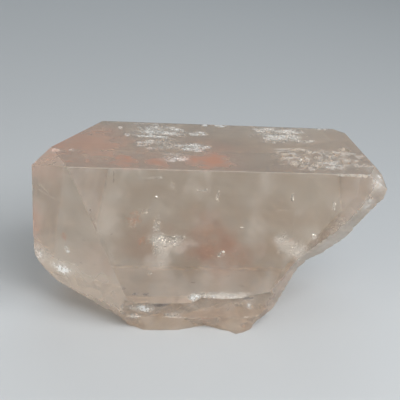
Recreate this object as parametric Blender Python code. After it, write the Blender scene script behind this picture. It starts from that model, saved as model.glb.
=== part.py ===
"""A rough topaz crystal, one natural piece lying on one of its long prism faces.

The crystal's long axis runs along X, from the blunt left end to the broken right tip.
+Y is the back and +Z is up. The flat prism faces, the small end faces and the base are
planes cut from a block. The broken lower corners and the ledge above the base are
uneven surfaces, drawn through the lines where they meet the flat faces.
All measures are in millimetres from the left end of the front ridge, on the base's level.
"""
import math

import bmesh
import bpy
from mathutils import Matrix, Vector, noise

NODE = "topaz_crystal"
MM = 0.001

# Main sizes
HEIGHT = 37.5          # base face to top face
TOP_DEPTH = 32.3       # front ridge to the back edge of the top face
RIGHT_LIMIT = 68.1     # the cleaved right end
RIDGE_CHAMFER = 0.20   # thin worn face along the front ridge
FRONT_LEAN = 3.2       # degrees, the front prism face leans out toward the base

# Flat faces: (what it is, azimuth and elevation of its outward normal in degrees, a point on it)
FLAT_FACES = (
    ("top prism face", 0.0, 90.0, (0.0, 0.0, HEIGHT)),
    ("base prism face", 0.0, -90.0, (0.0, 0.0, 0.0)),
    ("front prism face", -90.0, FRONT_LEAN, (0.0, 0.0, HEIGHT)),
    ("worn front ridge", -90.0, 46.6, (0.0, RIDGE_CHAMFER, HEIGHT)),
    ("upper back bevel", 90.0, 71.3, (0.0, TOP_DEPTH, HEIGHT)),
    ("back prism face", 90.0, 15.5, (0.0, TOP_DEPTH + 2.2, HEIGHT - 0.75)),
    ("leaning back face", 90.0, -3.2, (0.0, TOP_DEPTH + 3.4, 30.0)),
    ("lower back bevel", 90.0, -46.6, (0.0, TOP_DEPTH - 4.0, 0.0)),
    ("left front end face", -128.5, -14.1, (0.0, 0.0, HEIGHT)),
    ("left back end face", 148.4, 6.2, (-4.0, 10.4, HEIGHT)),
    ("left top corner", -167.0, 70.3, (0.0, 0.0, HEIGHT)),
    ("right top bevel", -1.0, 45.0, (67.0, 23.0, HEIGHT)),
    ("right front corner", -28.0, 50.0, (63.9, 0.4, HEIGHT)),
    ("right back corner", 36.0, 8.0, (66.9, 29.6, HEIGHT)),
    ("cleaved right end", 0.0, 0.0, (RIGHT_LIMIT, 0.0, 0.0)),
)

# The broken lower right corner, from the tip at the top down to the base
RIGHT_INNER = (
    (66.6, 0.2, 41.0), (65.6, -0.1, 36.2), (64.4, -0.2, 33.5), (62.8, -0.4, 30.6), (60.5, -0.6, 27.6),
    (57.9, -0.7, 24.8), (54.9, -0.8, 22.5), (51.6, -1.0, 19.7), (48.8, -1.2, 16.9), (47.2, -1.3, 14.8),
    (46.0, -1.4, 12.5), (44.5, -1.6, 9.6), (42.4, -1.7, 6.9), (40.8, -1.8, 3.6), (39.5, -2.4, 0.0),
    (38.5, -3.0, -4.0),
)
RIGHT_OUTER = (
    (68.6, 0.0, 40.0), (68.3, 0.0, 35.2), (68.2, 1.5, 31.8), (67.4, 2.5, 30.0), (66.3, 3.5, 27.7),
    (63.8, 4.0, 24.1), (61.9, 4.0, 21.7), (59.9, 4.0, 19.7), (57.9, 4.0, 18.7), (56.0, 4.0, 17.2),
    (53.5, 4.0, 15.3), (51.8, 4.0, 13.9), (50.6, 3.5, 12.0), (49.8, 3.0, 10.6), (48.5, 2.5, 8.1),
    (47.6, 2.5, 6.0), (46.7, 2.0, 4.8), (45.1, 2.0, 3.2), (43.4, 1.5, 2.0), (41.9, 1.0, 0.2), (41.0, 1.0, -4.0),
)
RIGHT_MIDDLE = (
    (71.0, 12.0, 40.0), (70.5, 12.0, 33.0), (68.6, 12.0, 28.0), (64.8, 12.0, 22.8), (61.0, 12.0, 18.3),
    (57.0, 12.0, 14.8), (52.8, 12.0, 11.0), (50.4, 12.0, 7.2), (48.0, 12.0, 3.4), (46.4, 12.0, 0.0),
    (45.4, 12.0, -4.0),
)
RIGHT_BACK = (
    (72.0, 26.0, 40.0), (71.0, 26.0, 31.0), (66.5, 26.0, 23.0), (60.8, 26.0, 16.0), (55.5, 26.0, 10.0),
    (51.5, 26.0, 5.0), (48.6, 26.0, 0.0), (47.0, 26.0, -4.0),
)

# The broken lower left corner, from the left end down to the base
LEFT_INNER = (
    (-8.6, 13.5, 20.4), (-6.5, 11.7, 17.2), (-3.6, 10.4, 13.5), (0.3, 7.8, 11.3), (4.1, 4.9, 9.9),
    (8.2, 1.7, 8.6), (11.7, -1.6, 8.0), (14.2, -1.8, 5.6), (15.8, -2.0, 2.6), (16.6, -2.4, -2.0),
)
LEFT_OUTER = (
    (-8.4, 13.5, 18.2), (-5.9, 12.2, 15.0), (-5.5, 12.0, 12.3), (-4.5, 11.2, 10.6), (-2.4, 10.0, 8.4),
    (-0.1, 9.0, 7.1), (3.2, 7.5, 6.2), (6.5, 6.0, 4.9), (10.2, 4.5, 3.3), (14.0, 2.5, 1.4), (16.2, 1.6, 0.0),
    (17.4, 1.0, -3.0),
)
LEFT_MIDDLE = (
    (-6.0, 22.0, 15.5), (-2.6, 21.0, 11.5), (0.6, 19.0, 7.6), (4.4, 17.0, 4.4), (8.2, 15.0, 2.0),
    (11.2, 13.5, 0.0), (13.4, 12.0, -3.0),
)
LEFT_BACK = (
    (-2.0, 34.0, 11.0), (1.6, 33.0, 7.6), (5.0, 32.0, 4.0), (8.0, 30.0, 0.6), (10.0, 30.0, -3.0),
)

# The ledge above the base, from left to right: the edge of the front face, the step and the foot
LEDGE_EDGE = (
    (5.0, -1.5, 11.4), (11.7, -1.6, 8.7), (15.8, -1.7, 7.9), (21.0, -1.7, 7.8), (27.2, -1.7, 7.9),
    (29.6, -1.6, 9.3), (33.7, -1.6, 8.9), (38.1, -1.6, 9.1), (41.3, -1.5, 9.9), (44.6, -1.5, 10.5),
    (47.9, -1.5, 11.2), (53.0, -1.5, 12.0),
)
LEDGE_STEP = (
    (5.0, 0.4, 4.4), (14.0, 0.3, 3.8), (21.0, 0.3, 3.6), (29.0, 0.3, 3.3), (34.3, -0.3, 3.9), (39.0, -0.4, 3.9),
    (44.0, -0.2, 3.9), (53.0, -0.2, 4.4),
)
FOOT_EDGE = (
    (5.0, 4.0, 0.0), (14.2, 3.2, 0.0), (16.7, 2.2, 0.0), (17.9, 1.0, 0.0), (21.6, 0.9, 0.0), (25.4, 0.9, 0.0),
    (28.4, 1.8, 0.0), (31.8, 3.1, 0.0), (33.7, 2.2, 0.0), (35.4, 0.9, 0.0), (36.8, 0.6, 0.0), (38.2, -1.0, 0.0),
    (40.0, -0.2, 0.0), (41.9, 1.0, 0.0), (44.0, 3.0, 0.0), (53.0, 5.0, 0.0),
)

# Etched patches on the top face: (x from, x to, y from, y to, depth, seed)
ETCHED_PATCHES = (
    (44.5, 66.0, 1.2, 17.0, 0.75, 11.0),
    (43.5, 57.5, 20.0, 31.0, 0.50, 23.0),
    (15.0, 30.0, 12.5, 30.5, 0.42, 37.0),
)
ETCH_CELL = 1.25

# Small chips: (centre, radius, seed)
CHIPS = (
    ((57.5, -0.5, 37.9), 0.9, 3.0),
    ((60.2, -0.4, 38.0), 1.1, 5.0),
    ((62.6, -0.6, 37.8), 1.0, 7.0),
    ((67.4, 2.2, 36.9), 1.2, 9.0),
    ((63.3, 17.0, 38.0), 1.3, 13.0),
    ((-1.9, 10.2, 38.1), 1.0, 17.0),
    ((-6.2, 6.6, 36.4), 0.6, 19.0),
)


def direction(azimuth, elevation):
    """Unit vector for an azimuth from +X toward +Y and an elevation toward +Z, in degrees."""
    a = math.radians(azimuth)
    e = math.radians(elevation)
    return Vector((math.cos(a) * math.cos(e), math.sin(a) * math.cos(e), math.sin(e)))


def mesh_object(name, bm):
    """Object from a bmesh, triangulated, with its faces turned outward."""
    bmesh.ops.recalc_face_normals(bm, faces=bm.faces)
    mesh = bpy.data.meshes.new(name)
    bm.to_mesh(mesh)
    bm.free()
    obj = bpy.data.objects.new(name, mesh)
    bpy.context.scene.collection.objects.link(obj)
    return obj


def faceted_block():
    """The crystal before it was broken: a block cut by each flat face in turn."""
    bm = bmesh.new()
    bmesh.ops.create_cube(bm, size=200.0)
    for _, azimuth, elevation, point in FLAT_FACES:
        normal = direction(azimuth, elevation)
        everything = bm.verts[:] + bm.edges[:] + bm.faces[:]
        cut = bmesh.ops.bisect_plane(
            bm, geom=everything, dist=1e-5, plane_co=Vector(point), plane_no=normal, clear_outer=True
        )
        rim = [item for item in cut["geom_cut"] if isinstance(item, bmesh.types.BMEdge)]
        if rim:
            bmesh.ops.edgeloop_fill(bm, edges=rim)
    return mesh_object(NODE, bm)


def along(line, count):
    """The line's points spaced evenly by length, count of them."""
    points = [Vector(p) for p in line]
    lengths = [0.0]
    for a, b in zip(points, points[1:]):
        lengths.append(lengths[-1] + (b - a).length)
    result = []
    segment = 0
    for i in range(count):
        target = lengths[-1] * i / (count - 1)
        while segment < len(points) - 2 and lengths[segment + 1] < target:
            segment += 1
        span = lengths[segment + 1] - lengths[segment]
        t = (target - lengths[segment]) / span
        result.append(points[segment].lerp(points[segment + 1], t))
    return result


def roughness(point, seed):
    """Uneven height of a broken surface at a point, about -1 to 1."""
    shifted = point + Vector((seed, seed * 1.7, -seed))
    broad = noise.noise(shifted * 0.22)
    middle = noise.noise(shifted * 0.55)
    fine = noise.noise(shifted * 1.3)
    return broad * 1.1 + middle * 0.55 + fine * 0.3


def closed_sheet(name, rows, away, reach):
    """Solid between a grid of points and the same grid moved far out."""
    bm = bmesh.new()
    near = [[bm.verts.new(p) for p in row] for row in rows]
    far = [[bm.verts.new(p + away * reach) for p in row] for row in rows]
    last_row = len(rows) - 1
    last_column = len(rows[0]) - 1
    for i in range(last_row):
        for j in range(last_column):
            bm.faces.new((near[i][j], near[i + 1][j], near[i + 1][j + 1], near[i][j + 1]))
            bm.faces.new((far[i][j], far[i][j + 1], far[i + 1][j + 1], far[i + 1][j]))
    for i in range(last_row):
        for j in (0, last_column):
            bm.faces.new((near[i][j], far[i][j], far[i + 1][j], near[i + 1][j]))
    for j in range(last_column):
        for i in (0, last_row):
            bm.faces.new((near[i][j], near[i][j + 1], far[i][j + 1], far[i][j]))
    bmesh.ops.triangulate(bm, faces=bm.faces[:])
    return mesh_object(name, bm)


def broken_sheet(name, lines, steps, columns, away, reach, depth, seed):
    """Cutter whose uneven face passes through the given lines, with steps[i] rows from line i to the next."""
    rails = [along(line, columns) for line in lines]
    outward = Vector(away).normalized()
    rows = []
    for index, count in enumerate(steps):
        for step in range(count):
            t = step / count
            rows.append([a.lerp(b, t) for a, b in zip(rails[index], rails[index + 1])])
    rows.append(rails[-1])
    uneven = [[p + outward * (roughness(p, seed) * depth) for p in row] for row in rows]
    return closed_sheet(name, uneven, outward, reach)


def extended(inner, outer, amount):
    """The inner line moved on past the crystal's face, away from the outer line."""
    count = 24
    return [a + (a - b) * amount for a, b in zip(along(inner, count), along(outer, count))]


def moved(line, offset):
    """The line moved by an offset."""
    shift = Vector(offset)
    return [Vector(p) + shift for p in line]


def right_break():
    """The broken lower right corner, from the tip to the base."""
    behind = moved(RIGHT_BACK, (1.5, 18.0, -1.0))
    lines = (extended(RIGHT_INNER, RIGHT_OUTER, 0.4), RIGHT_INNER, RIGHT_OUTER, RIGHT_MIDDLE, RIGHT_BACK, behind)
    return broken_sheet("right_break", lines, (1, 2, 3, 4, 2), 42, (0.65, -0.40, -0.60), 60.0, 0.30, 41.0)


def left_break():
    """The broken lower left corner, from the left end to the base."""
    behind = moved(LEFT_BACK, (2.0, 14.0, -1.0))
    lines = (extended(LEFT_INNER, LEFT_OUTER, 0.5), LEFT_INNER, LEFT_OUTER, LEFT_MIDDLE, LEFT_BACK, behind)
    return broken_sheet("left_break", lines, (1, 2, 3, 3, 1), 24, (-0.60, -0.45, -0.60), 50.0, 0.30, 57.0)


def front_ledge():
    """The ledge at the foot of the front face: an undercut lip, a step and the edge of the base."""
    lines = (
        moved(LEDGE_EDGE, (0.0, -2.5, 0.2)),
        moved(LEDGE_EDGE, (0.0, 0.7, -0.15)),
        moved(LEDGE_STEP, (0.0, 0.35, 0.25)),
        moved(LEDGE_STEP, (0.0, 0.0, -0.1)),
        FOOT_EDGE,
        moved(FOOT_EDGE, (0.0, 0.0, -3.0)),
    )
    return broken_sheet("front_ledge", lines, (2, 3, 1, 3, 1), 40, (0.0, -1.0, -0.15), 30.0, 0.16, 71.0)


def etched_patch(index, x0, x1, y0, y1, depth, seed):
    """Cutter that bites shallow uneven pits into the top face, deepest in the middle of the patch."""
    columns = max(3, round((x1 - x0) / ETCH_CELL))
    lines = max(3, round((y1 - y0) / ETCH_CELL))
    rows = []
    for i in range(lines + 1):
        row = []
        for j in range(columns + 1):
            u = j / columns
            v = i / lines
            fade = math.sin(math.pi * u) * math.sin(math.pi * v)
            point = Vector((x0 + (x1 - x0) * u, y0 + (y1 - y0) * v, HEIGHT))
            shifted = Vector((point.x * 0.42 + seed, point.y * 0.55 - seed, seed))
            bite = noise.noise(shifted) * 1.5 + noise.noise(shifted * 2.3) * 0.8
            point.z += 0.12 - max(0.0, bite) * depth * min(1.0, fade * 1.8)
            row.append(point)
        rows.append(row)
    return closed_sheet(f"etched_patch_{index}", rows, Vector((0.0, 0.0, 1.0)), 6.0)


def chip(index, centre, radius, seed):
    """Cutter for a small chip, a lumpy stone shape."""
    bm = bmesh.new()
    bmesh.ops.create_icosphere(bm, subdivisions=1, radius=radius)
    for vert in bm.verts:
        swell = 1.0 + 0.35 * noise.noise(vert.co * 1.1 + Vector((seed, seed, seed)))
        vert.co = vert.co * swell + Vector(centre)
    return mesh_object(f"chip_{index}", bm)


def subtract(solid, cutter):
    """Cut the cutter out of the solid and put the cutter away."""
    cutter.display_type = "WIRE"
    cutter.hide_render = True
    modifier = solid.modifiers.new(cutter.name, "BOOLEAN")
    modifier.operation = "DIFFERENCE"
    modifier.solver = "EXACT"
    modifier.object = cutter
    graph = bpy.context.evaluated_depsgraph_get()
    result = bpy.data.meshes.new_from_object(solid.evaluated_get(graph))
    solid.modifiers.clear()
    solid.data = result
    bpy.data.objects.remove(cutter)


def largest_piece(bm):
    """Delete every loose flake except the crystal itself."""
    left = set(bm.verts)
    pieces = []
    while left:
        start = left.pop()
        piece = {start}
        edge_of_piece = [start]
        while edge_of_piece:
            vert = edge_of_piece.pop()
            for edge in vert.link_edges:
                other = edge.other_vert(vert)
                if other in left:
                    left.remove(other)
                    piece.add(other)
                    edge_of_piece.append(other)
        pieces.append(piece)
    pieces.sort(key=len)
    flakes = [vert for piece in pieces[:-1] for vert in piece]
    if flakes:
        bmesh.ops.delete(bm, geom=flakes, context="VERTS")


def finish_mesh(obj):
    """Triangulate, scale to metres and put the origin under the middle, on the base's level."""
    bm = bmesh.new()
    bm.from_mesh(obj.data)
    bmesh.ops.remove_doubles(bm, verts=bm.verts[:], dist=0.0001)
    bmesh.ops.dissolve_degenerate(bm, edges=bm.edges[:], dist=0.0001)
    largest_piece(bm)
    bmesh.ops.triangulate(bm, faces=bm.faces[:])
    xs = [vert.co.x for vert in bm.verts]
    ys = [vert.co.y for vert in bm.verts]
    middle = Vector(((min(xs) + max(xs)) / 2, (min(ys) + max(ys)) / 2, 0.0))
    bmesh.ops.transform(bm, matrix=Matrix.Scale(MM, 4) @ Matrix.Translation(-middle), verts=bm.verts[:])
    bmesh.ops.recalc_face_normals(bm, faces=bm.faces)
    bm.to_mesh(obj.data)
    bm.free()
    print("crystal middle in working millimetres", middle, "triangles", len(obj.data.polygons))


def topaz_material():
    """Clear warm beige topaz."""
    material = bpy.data.materials.new("topaz")
    material.use_nodes = True
    shader = material.node_tree.nodes["Principled BSDF"]
    shader.inputs["Base Color"].default_value = (0.62, 0.53, 0.42, 1.0)
    shader.inputs["Roughness"].default_value = 0.08
    shader.inputs["Metallic"].default_value = 0.0
    return material


def build():
    """Model the crystal."""
    for obj in list(bpy.data.objects):
        bpy.data.objects.remove(obj)
    crystal = faceted_block()
    subtract(crystal, front_ledge())
    subtract(crystal, right_break())
    subtract(crystal, left_break())
    for index, patch in enumerate(ETCHED_PATCHES):
        subtract(crystal, etched_patch(index, *patch))
    for index, (centre, radius, seed) in enumerate(CHIPS):
        subtract(crystal, chip(index, centre, radius, seed))
    finish_mesh(crystal)
    crystal.data.materials.clear()
    crystal.data.materials.append(topaz_material())


build()
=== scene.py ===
import math

import bmesh
import bpy
import numpy as np
from mathutils import Matrix, Vector, noise
from mathutils.bvhtree import BVHTree


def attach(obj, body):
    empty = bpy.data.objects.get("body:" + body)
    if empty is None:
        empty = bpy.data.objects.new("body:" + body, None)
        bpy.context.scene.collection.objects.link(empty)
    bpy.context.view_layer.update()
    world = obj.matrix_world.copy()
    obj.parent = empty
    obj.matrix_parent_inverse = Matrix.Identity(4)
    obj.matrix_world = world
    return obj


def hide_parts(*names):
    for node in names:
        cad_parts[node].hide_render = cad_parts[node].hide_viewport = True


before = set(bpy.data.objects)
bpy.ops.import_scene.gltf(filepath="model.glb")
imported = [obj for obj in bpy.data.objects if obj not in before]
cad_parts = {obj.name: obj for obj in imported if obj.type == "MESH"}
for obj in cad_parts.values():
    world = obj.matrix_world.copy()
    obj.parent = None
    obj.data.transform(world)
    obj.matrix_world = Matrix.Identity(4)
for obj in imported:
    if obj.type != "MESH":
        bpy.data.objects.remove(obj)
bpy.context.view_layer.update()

# Looks of a rough topaz crystal, one natural piece lying on one of its long prism faces.
# The crystal's measures are in millimetres from the left end of the front ridge, on the base's level,
# with X along the crystal, Y toward its back and Z up. MIDDLE is the model's origin in them.
NODE = "topaz_crystal"
MM = 0.001
MIDDLE = Vector((30.6041, 17.0742, 0.0))

# Main sizes
HEIGHT = 37.5          # base face to top face
TOP_DEPTH = 32.3       # front ridge to the back edge of the top face
RIGHT_LIMIT = 68.1     # the cleaved right end
RIDGE_CHAMFER = 0.07   # thin worn face along the front ridge
FRONT_LEAN = 3.2       # degrees, the front prism face leans out toward the base
BLOCK = 200.0          # the block that the flat faces are cut from

# Flat faces: what it is, azimuth and elevation of its outward normal in degrees, a point on it
FLAT_FACES = (
    ("top", 0.0, 90.0, (0.0, 0.0, HEIGHT)),
    ("base", 0.0, -90.0, (0.0, 0.0, 0.0)),
    ("front", -90.0, FRONT_LEAN, (0.0, 0.0, HEIGHT)),
    ("ridge", -90.0, 46.6, (0.0, RIDGE_CHAMFER, HEIGHT)),
    ("upper back bevel", 90.0, 71.3, (0.0, TOP_DEPTH, HEIGHT)),
    ("back", 90.0, 15.5, (0.0, TOP_DEPTH + 2.2, HEIGHT - 0.75)),
    ("leaning back", 90.0, -3.2, (0.0, TOP_DEPTH + 3.4, 30.0)),
    ("lower back bevel", 90.0, -46.6, (0.0, TOP_DEPTH - 4.0, 0.0)),
    ("left front", -128.5, -14.1, (0.0, 0.0, HEIGHT)),
    ("left back", 148.4, 6.2, (-4.0, 10.4, HEIGHT)),
    ("left top", -167.0, 70.3, (0.0, 0.0, HEIGHT)),
    ("right top", -1.0, 45.0, (67.0, 23.0, HEIGHT)),
    ("right front", -28.0, 50.0, (63.9, 0.4, HEIGHT)),
    ("right back", 36.0, 8.0, (66.9, 29.6, HEIGHT)),
    ("right end", 0.0, 0.0, (RIGHT_LIMIT, 0.0, 0.0)),
)

# The broken lower right corner, from the tip at the top down to the base
RIGHT_INNER = (
    (66.6, 0.2, 41), (65.6, -0.1, 36.2), (64.4, -0.2, 33.5), (62.8, -0.4, 30.6), (60.5, -0.6, 27.6),
    (57.9, -0.7, 24.8), (54.9, -0.8, 22.5), (51.6, -1, 19.7), (48.8, -1.2, 16.9), (47.2, -1.3, 14.8),
    (46, -1.4, 12.5), (44.5, -1.6, 9.6), (42.4, -1.7, 6.9), (40.8, -1.8, 3.6), (39.5, -2.4, 0),
    (38.5, -3, -4),
)
RIGHT_OUTER = (
    (68.6, 0, 40), (68.3, 0, 35.2), (68.2, 1.5, 31.8), (67.4, 2.5, 30), (66.3, 3.5, 27.7),
    (63.8, 4, 24.1), (61.9, 4, 21.7), (59.9, 4, 19.7), (57.9, 4, 18.7), (56, 4, 17.2), (53.5, 4, 15.3),
    (51.8, 4, 13.9), (50.6, 3.5, 12), (49.8, 3, 10.6), (48.5, 2.5, 8.1), (47.6, 2.5, 6), (46.7, 2, 4.8),
    (45.1, 2, 3.2), (43.4, 1.5, 2), (41.9, 1, 0.2), (41, 1, -4),
)
RIGHT_MIDDLE = (
    (71, 12, 40), (70.5, 12, 33), (68.6, 12, 28), (64.8, 12, 22.8), (61, 12, 18.3), (57, 12, 14.8),
    (52.8, 12, 11), (50.4, 12, 7.2), (48, 12, 3.4), (46.4, 12, 0), (45.4, 12, -4),
)
RIGHT_BACK = (
    (72, 26, 40), (71, 26, 31), (66.5, 26, 23), (60.8, 26, 16), (55.5, 26, 10), (51.5, 26, 5),
    (48.6, 26, 0), (47, 26, -4),
)

# The broken lower left corner, from the left end down to the base
LEFT_INNER = (
    (-8.6, 13.5, 20.4), (-6.5, 11.7, 17.2), (-3.6, 10.4, 13.5), (0.3, 7.8, 11.3), (4.1, 4.9, 9.9),
    (8.2, 1.7, 8.6), (11.7, -1.6, 8), (14.2, -1.8, 5.6), (15.8, -2, 2.6), (16.6, -2.4, -2),
)
LEFT_OUTER = (
    (-8.4, 13.5, 18.2), (-5.9, 12.2, 15), (-5.5, 12, 12.3), (-4.5, 11.2, 10.6), (-2.4, 10, 8.4),
    (-0.1, 9, 7.1), (3.2, 7.5, 6.2), (6.5, 6, 4.9), (10.2, 4.5, 3.3), (14, 2.5, 1.4), (16.2, 1.6, 0),
    (17.4, 1, -3),
)
LEFT_MIDDLE = (
    (-6, 22, 15.5), (-2.6, 21, 11.5), (0.6, 19, 7.6), (4.4, 17, 4.4), (8.2, 15, 2), (11.2, 13.5, 0),
    (13.4, 12, -3),
)
LEFT_BACK = (
    (-2, 34, 11), (1.6, 33, 7.6), (5, 32, 4), (8, 30, 0.6), (10, 30, -3),
)

# The ledge above the base, from left to right: the edge of the front face, the step and the foot
LEDGE_EDGE = (
    (5, -1.5, 11.4), (11.7, -1.6, 8.7), (15.8, -1.7, 7.9), (21, -1.7, 7.8), (27.2, -1.7, 7.9),
    (29.6, -1.6, 9.3), (33.7, -1.6, 8.9), (38.1, -1.6, 9.1), (41.3, -1.5, 9.9), (44.6, -1.5, 10.5),
    (47.9, -1.5, 11.2), (53, -1.5, 12),
)
LEDGE_STEP = (
    (5, 0.4, 4.4), (14, 0.3, 3.8), (21, 0.3, 3.6), (29, 0.3, 3.3), (34.3, -0.3, 3.9), (39, -0.4, 3.9),
    (44, -0.2, 3.9), (53, -0.2, 4.4),
)
FOOT_EDGE = (
    (5, 4, 0), (14.2, 3.2, 0), (16.7, 2.2, 0), (17.9, 1, 0), (21.6, 0.9, 0), (25.4, 0.9, 0),
    (28.4, 1.8, 0), (31.8, 3.1, 0), (33.7, 2.2, 0), (35.4, 0.9, 0), (36.8, 0.6, 0), (38.2, -1, 0),
    (40, -0.2, 0), (41.9, 1, 0), (44, 3, 0), (53, 5, 0),
)

# Etched hollows in the top face: x from, x to, y from, y to, depth, seed
ETCHED_PATCHES = (
    (44.5, 66, 1.2, 17, 0.6, 11),
    (43.5, 57.5, 20, 31, 0.25, 23),
)

# Patches of the top face rippled along the crystal: x from, x to, y from, y to, height, seed, and
# whiteness, which is a painted bluish white reflection
RIPPLED_PATCHES = (
    (14.5, 28.5, 19.5, 32, 0.3, 3, 0.42),
    (23.5, 32.5, 11.5, 18, 0.34, 5, 0.36),
    (19, 26.5, 5, 11, 0.34, 7, 0.36),
    (14, 27, 12, 21, 0.26, 43, 0.2),
    (27.5, 33, 23, 27, 0.3, 15, 0.42),
    (42, 58.5, 19, 32.3, 0.34, 21, 0.34),
    (43.5, 62, 0.6, 17.5, 0.28, 27, 0.05),
    (53.5, 60.5, 3.6, 9, 0.36, 37, 0.3),
    (60.5, 67.5, 1, 18.5, 0.3, 33, 0.06),
)

# Iron stained places on the crystal's surface, with a painted rosy reflection of what lies under the
# crystal on the top face and the left end: middle, half sizes along X, Y and Z, strength
STAINS_AND_REFLECTIONS = (
    ((30.6, 6.4, 37.5), (4.6, 5.6, 0.3), 0.95),
    ((12.2, 4.6, 37.5), (2.2, 3.6, 0.3), 0.6),
    ((18.4, 4.6, 37.5), (2.4, 3.8, 0.3), 0.66),
    ((5, 16, 37.5), (9.5, 13, 1.5), 0.66),
    ((22, 5, 37.5), (12, 7, 0.3), 0.22),
    ((-4.5, 7, 35.5), (6, 8, 3), 0.34),
    ((34, 34, 13), (7, 5, 6), 0.55),
    ((40, 33, 8.5), (7, 5, 5), 0.45),
    ((20, 34, 11), (6, 5, 5), 0.3),
    ((-6, 11.6, 22), (2.4, 4, 7), 0.55),
)

# Hazy places of the front face, over the veils: middle X and Z, half sizes along them, strength
HAZES = (
    ((21.2, 21.2), (3.6, 2), 0.24),
    ((20.2, 18.6), (2.2, 3.2), 0.16),
    ((19, 24.6), (1, 2.4), 0.12),
    ((25.6, 21.6), (2.6, 1), 0.12),
    ((46.6, 21.8), (1.9, 1.7), 0.18),
    ((50.6, 19.2), (2.8, 2), 0.17),
    ((33.8, 9.6), (6, 0.9), 0.12),
)

# Bruised white places of the surface, with painted highlights and glints on the lower left break and the
# top face: middle, half sizes along X, Y and Z, strength
BRUISES_AND_HIGHLIGHTS = (
    ((0.4, 8.6, 11.4), (3.4, 2.2, 1.3), 0.4),
    ((0.5, 8.6, 10.9), (1, 1.4, 0.6), 0.9),
    ((-4.6, 11.4, 13), (1.4, 1.6, 1.8), 0.3),
    ((1, 6, 16.7), (0.4, 0.8, 0.7), 0.7),
    ((-1.9, 10.4, 37.5), (0.7, 0.8, 0.9), 0.9),
    ((1.5, 10.7, 37.5), (0.6, 0.7, 0.3), 0.6),
    ((66, 2, 35.8), (2.2, 3, 1.8), 0.45),
    ((64.5, 1, 30.5), (1.6, 3, 1.6), 0.3),
    ((58, 2, 21), (3.5, 4, 1.4), 0.22),
    ((17.6, -0.6, 5.9), (1.6, 1.4, 0.9), 0.65),
    ((15.4, 0.4, 3.7), (1, 1, 0.6), 0.5),
    ((28.2, -1.5, 9.1), (1.2, 0.8, 0.8), 0.6),
    ((34.6, -1.6, 9.3), (4.2, 0.8, 0.5), 0.34),
    ((40.6, -0.8, 6.8), (0.6, 1.2, 0.5), 0.4),
    ((24, -0.2, 4), (1.6, 1.2, 0.5), 0.3),
    ((13.1, 27.5, 37.5), (0.4, 0.9, 0.3), 0.8),
    ((14.2, 22.4, 37.5), (0.5, 0.9, 0.3), 0.8),
    ((33.4, 31.6, 37.5), (0.6, 0.9, 0.4), 0.8),
    ((37.2, 31.6, 37.5), (1.3, 0.9, 0.4), 0.8),
    ((62, 32, 36.6), (3.2, 1.6, 0.9), 0.7),
    ((4.6, 34.6, 35.6), (2.6, 1.4, 1.4), 0.7),
    ((27, 35.6, 31), (4, 1, 0.5), 0.5),
    ((50, 34, 12), (4, 3, 2.4), 0.4),
    ((12, 32, 6), (3.4, 3, 2.2), 0.4),
    ((-7, 17, 30), (1.4, 2.2, 2.8), 0.4),
    ((67.6, 14, 33), (0.9, 4.6, 1.2), 0.55),
    ((67, 29.6, 33), (1.2, 1.4, 3.4), 0.5),
)

# Small chips: centre, radius, seed
CHIPS = (
    ((57.5, -0.5, 37.9), 0.9, 3),
    ((60.2, -0.4, 38), 1.1, 5),
    ((62.6, -0.6, 37.8), 1, 7),
    ((67.4, 2.2, 36.9), 1.2, 9),
    ((63.3, 17, 38), 1.3, 13),
    ((-1.9, 10.2, 38.1), 1, 17),
    ((-6.2, 6.6, 36.4), 0.6, 19),
)

# How closely the flat faces are divided
DIVISIONS = {
    "top": 0.4,
    "front": 0.6,
    "left front": 0.8,
    "left top": 0.6,
    "left back": 0.9,
    "back": 0.9,
    "leaning back": 0.9,
    "lower back bevel": 0.9,
    "base": 1.8,
}
FIRST_CUT = 0.63       # where a face's first cut lies, in steps from its edge

# Flat faces with growth lines and etch pits
ROUGH_FACES = ("left back", "back", "leaning back", "lower back bevel")

# How frosted and how milky the other flat faces are, from 0 to 1, where they are so evenly
EVEN_MARKS = {
    "top": (0.08, 0.18),
    "base": (0.4, 0.2),
    "ridge": (0.3, 0.2),
    "upper back bevel": (0.3, 0.2),
    "left top": (0.2, 0.25),
    "right top": (0.4, 0.2),
    "right front": (0.4, 0.2),
    "right back": (0.8, 0.2),
    "right end": (0.6, 0.2),
}
LEFT_FROST = 0.05      # the left front face is frosted evenly, but unevenly milky

WELD = 0.0005           # points nearer than this are one
POINT_ON_PLANE = 0.002  # points nearer to a plane than this lie on it
FACE_ON_PLANE = 0.02    # and faces whose middle is nearer than this, if they also face its way
SAME_WAY = 0.9999       # least cosine between two normals that face the same way
FLAT_ANGLE = 0.3        # degrees, faces that meet at less than this are one
SHARP_ANGLE = 24.0      # degrees, edges sharper than this stay sharp

# Marks that the crystal's mesh carries for its material, each from 0 to 1; the white mark also carries
# painted highlights and reflections, and the stain mark a painted rosy reflection
MARKS = ("frost", "milk", "wear_and_highlight", "stain_and_reflection")

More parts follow.
